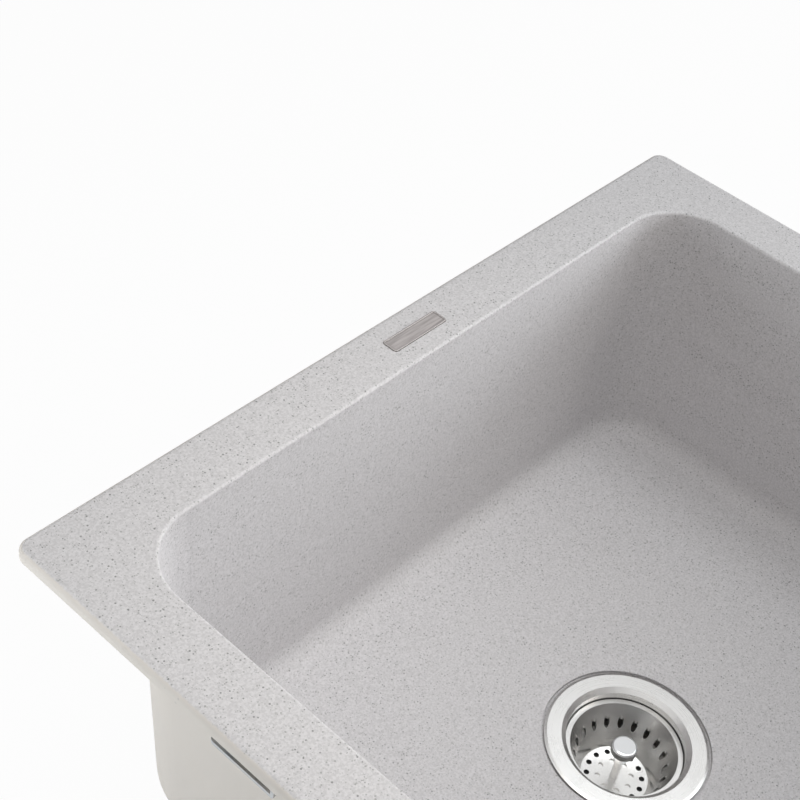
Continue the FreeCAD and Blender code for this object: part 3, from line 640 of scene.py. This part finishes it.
def add_threads(name, centres, bare, radius, height, pitch, steps, material):
    """The threads of like shafts as one piece on the sink."""
    build = bmesh.new()
    for centre in centres:
        wind_ridge(build, centre, bare, radius, height, pitch, steps)
    bmesh.ops.recalc_face_normals(build, faces=build.faces)
    mesh = bpy.data.meshes.new(name)
    build.to_mesh(mesh)
    build.free()
    mesh.polygons.foreach_set("use_smooth", [True] * len(mesh.polygons))
    mesh.set_sharp_from_angle(angle=SHARP_ANGLE)
    mesh.materials.append(material)
    piece = bpy.data.objects.new(name, mesh)
    bpy.context.scene.collection.objects.link(piece)
    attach(piece, "sink")


class SINK_OT_basin(Operator):
    """Finish the stone casting"""

    bl_idname = "sink.basin"
    bl_label = "Stone casting"

    def execute(self, context):
        paint("sink_basin", granite_finish(context.scene.sink_granite))
        return {"FINISHED"}


class SINK_OT_badge(Operator):
    """Finish the plain metal badge on the back rim and its pad"""

    bl_idname = "sink.badge"
    bl_label = "Badge"

    def execute(self, context):
        looks = context.scene.sink_metal
        paint("badge_plate", badge_finish(looks))
        glue = context.scene.sink_plastic.glue_colour
        paint("badge_pad", moulded_finish("badge_glue", glue, roughness=0.6, grain=0.8 * MM, depth=0.05 * MM))
        return {"FINISHED"}


class SINK_OT_seal(Operator):
    """Finish the foam strip under the rim"""

    bl_idname = "sink.seal"
    bl_label = "Rim seal"

    def execute(self, context):
        foam = context.scene.sink_plastic.seal_colour
        paint("rim_seal", moulded_finish("foam_strip", foam, roughness=0.92, grain=0.6 * MM, depth=0.25 * MM))
        return {"FINISHED"}


class SINK_OT_clips(Operator):
    """Finish the fixing clips: dowels, screws, washers and claws, and thread the screws"""

    bl_idname = "sink.clips"
    bl_label = "Fixing clips"

    def execute(self, context):
        zinc = zinc_finish(context.scene.sink_metal)
        for node in ["clip_screws", "clip_washers"] + ["clip_claw_%d" % i for i in range(1, 9)]:
            paint(node, zinc)
        nylon = context.scene.sink_plastic.dowel_colour
        paint("clip_dowels", moulded_finish("dowel_nylon", nylon, roughness=0.5, grain=0.5 * MM,
                                            depth=0.03 * MM))
        thread = context.scene.sink_thread
        add_threads("screw_threads", SCREW_PLACES, SCREW_BARE, SCREW_RADIUS, thread.screw_height,
                    thread.screw_pitch, SCREW_STEPS, zinc)
        return {"FINISHED"}


class SINK_OT_strainer(Operator):
    """Finish the strainer cup in the drain and the rings that clamp it, and thread the cup"""

    bl_idname = "sink.strainer"
    bl_label = "Strainer cup"

    def execute(self, context):
        steel = turned_finish("spun_steel", context.scene.sink_metal.steel_colour, roughness=0.28,
                              pitch=0.5 * MM, depth=0.006 * MM)
        looks = context.scene.sink_plastic
        paint("strainer_cup", steel)
        paint("cup_crosspiece", steel)
        rubber = moulded_finish("gasket_rubber", looks.rubber_colour, roughness=0.7, grain=0.6 * MM,
                                depth=0.05 * MM)
        for node in ("flange_gasket", "floor_gasket", "tail_gasket"):
            paint(node, rubber)
        paint("friction_washer", card_finish(looks))
        paint("lock_nut", moulded_finish("nut_black", looks.nut_colour, roughness=0.5, grain=0.7 * MM,
                                         depth=0.06 * MM))
        thread = context.scene.sink_thread
        add_threads("cup_thread", DRAIN_AXIS, CUP_BARE, CUP_RADIUS, thread.cup_height, thread.cup_pitch,
                    CUP_STEPS, steel)
        add_threads("neck_thread", DRAIN_AXIS, NECK_BARE, NECK_RADIUS, thread.neck_height, thread.neck_pitch,
                    NECK_STEPS, steel)
        return {"FINISHED"}


class SINK_OT_outlet(Operator):
    """Finish the outlet pipe and the nut that joins it"""

    bl_idname = "sink.outlet"
    bl_label = "Outlet pipe"

    def execute(self, context):
        looks = context.scene.sink_plastic
        paint("tailpiece", moulded_finish("pipe_white", looks.pipe_colour, roughness=0.32, grain=2.0 * MM,
                                          depth=0.03 * MM))
        paint("coupling_nut", moulded_finish("coupling_black", looks.nut_colour, roughness=0.48,
                                             grain=0.7 * MM, depth=0.06 * MM))
        return {"FINISHED"}


class SINK_OT_basket(Operator):
    """Finish the strainer basket with its post, knob and stopper"""

    bl_idname = "sink.basket"
    bl_label = "Strainer basket"

    def execute(self, context):
        looks = context.scene.sink_metal
        steel = turned_finish("basket_steel", looks.steel_colour, roughness=0.24, pitch=0.45 * MM,
                              depth=0.005 * MM)
        for node in ("basket", "basket_post", "stopper_washer", "post_nut"):
            paint(node, steel)
        paint("basket_knob", turned_finish("knob_chrome", looks.chrome_colour, roughness=0.12, pitch=0.4 * MM,
                                           depth=0.001 * MM))
        rubber = context.scene.sink_plastic.rubber_colour
        paint("stopper_seal", moulded_finish("stopper_rubber", rubber, roughness=0.62, grain=0.6 * MM,
                                             depth=0.05 * MM))
        return {"FINISHED"}


def add_camera(looks):
    """The camera at the picture's own view."""
    data = bpy.data.cameras.new("camera")
    data.sensor_width = 36.0
    data.lens = looks.lens
    data.clip_end = 100.0
    camera = bpy.data.objects.new("camera", data)
    bpy.context.scene.collection.objects.link(camera)
    place, target = Vector(looks.camera_place), Vector(looks.camera_target)
    aim = (target - place).to_track_quat("-Z", "Y").to_matrix().to_4x4()
    camera.matrix_world = Matrix.Translation(place) @ aim @ Matrix.Rotation(looks.camera_roll, 4, "Z")
    bpy.context.scene.camera = camera


def add_lamp(name, place, target, side, power, tint):
    """A square soft lamp that points at a target."""
    data = bpy.data.lights.new(name, "AREA")
    data.shape = "SQUARE"
    data.size = side
    data.energy = power
    data.color = tint
    lamp = bpy.data.objects.new(name, data)
    bpy.context.scene.collection.objects.link(lamp)
    lamp.location = place
    lamp.rotation_euler = (Vector(target) - Vector(place)).to_track_quat("-Z", "Y").to_euler()
    lamp.visible_camera = False


def looks_white(tree):
    """1 for rays from the camera, a mirror or glass, for which the surroundings are plain white."""
    path = tree.nodes.new("ShaderNodeLightPath")
    direct = calc(tree, "MAXIMUM", path.outputs["Is Camera Ray"], path.outputs["Is Glossy Ray"])
    return calc(tree, "MAXIMUM", direct, path.outputs["Is Transmission Ray"])


def add_sky(looks):
    """Even pale surroundings that look white."""
    world = bpy.data.worlds.new("studio")
    bpy.context.scene.world = world
    world.use_nodes = True
    tree = world.node_tree
    background = tree.nodes["Background"]
    background.inputs["Color"].default_value = (1.0, 1.0, 1.0, 1.0)
    strength = calc(tree, "MAXIMUM", looks_white(tree), looks.sky_strength)
    tree.links.new(strength, background.inputs["Strength"])


def add_floor(looks):
    """A pale floor that looks white and keeps a soft shadow."""
    half = looks.floor_size / 2
    level = CAD_BOX[0][2]
    mesh = bpy.data.meshes.new("floor")
    corners = [(-half, -half, level), (half, -half, level), (half, half, level), (-half, half, level)]
    mesh.from_pydata(corners, [], [(0, 1, 2, 3)])
    floor = bpy.data.objects.new("floor", mesh)
    bpy.context.scene.collection.objects.link(floor)
    material, tree, shader = new_tree("pale_floor")
    shader.inputs["Base Color"].default_value = (*looks.floor_colour, 1.0)
    shader.inputs["Roughness"].default_value = 0.9
    glow = tree.nodes.new("ShaderNodeEmission")
    share = tree.nodes.new("ShaderNodeMixShader")
    tree.links.new(calc(tree, "MULTIPLY", looks_white(tree), looks.floor_glow), share.inputs[0])
    tree.links.new(shader.outputs[0], share.inputs[1])
    tree.links.new(glow.outputs[0], share.inputs[2])
    tree.links.new(share.outputs[0], tree.nodes["Material Output"].inputs["Surface"])
    mesh.materials.append(material)


class SINK_OT_stage(Operator):
    """Set up the camera, the soft studio light and the floor"""

    bl_idname = "sink.stage"
    bl_label = "Stage"

    def execute(self, context):
        looks = context.scene.sink_stage
        context.scene.view_settings.view_transform = "Standard"
        add_camera(looks)
        add_sky(looks)
        add_floor(looks)
        for name, (place, target, side, tint) in LAMPS.items():
            add_lamp(name + "_lamp", place, target, side, getattr(looks, name + "_power"), tint)
        return {"FINISHED"}


OPERATORS = (
    SINK_OT_stage, SINK_OT_basin, SINK_OT_badge, SINK_OT_seal, SINK_OT_clips, SINK_OT_strainer,
    SINK_OT_outlet, SINK_OT_basket,
)


class SINK_PT_looks(Panel):
    """The sink's pieces and their settings"""

    bl_idname = "SINK_PT_looks"
    bl_label = "Granite sink"
    bl_space_type = "VIEW_3D"
    bl_region_type = "UI"
    bl_category = "Granite sink"

    def draw(self, context):
        layout = self.layout
        for operator in OPERATORS:
            layout.operator(operator.bl_idname)
        for group in GROUPS:
            settings = getattr(context.scene, group)
            box = layout.box()
            for name in settings.__annotations__:
                box.prop(settings, name)


CLASSES = SETTINGS + OPERATORS + (SINK_PT_looks,)


def register():
    for item in CLASSES:
        bpy.utils.register_class(item)
    for name, settings in zip(GROUPS, SETTINGS):
        setattr(bpy.types.Scene, name, PointerProperty(type=settings))


def unregister():
    for name in GROUPS:
        delattr(bpy.types.Scene, name)
    for item in reversed(CLASSES):
        bpy.utils.unregister_class(item)


def main():
    """Make every piece in order."""
    register()
    bpy.ops.sink.stage()
    bpy.ops.sink.basin()
    bpy.ops.sink.badge()
    bpy.ops.sink.seal()
    bpy.ops.sink.clips()
    bpy.ops.sink.strainer()
    bpy.ops.sink.outlet()
    bpy.ops.sink.basket()


if __name__ == "__main__":
    main()
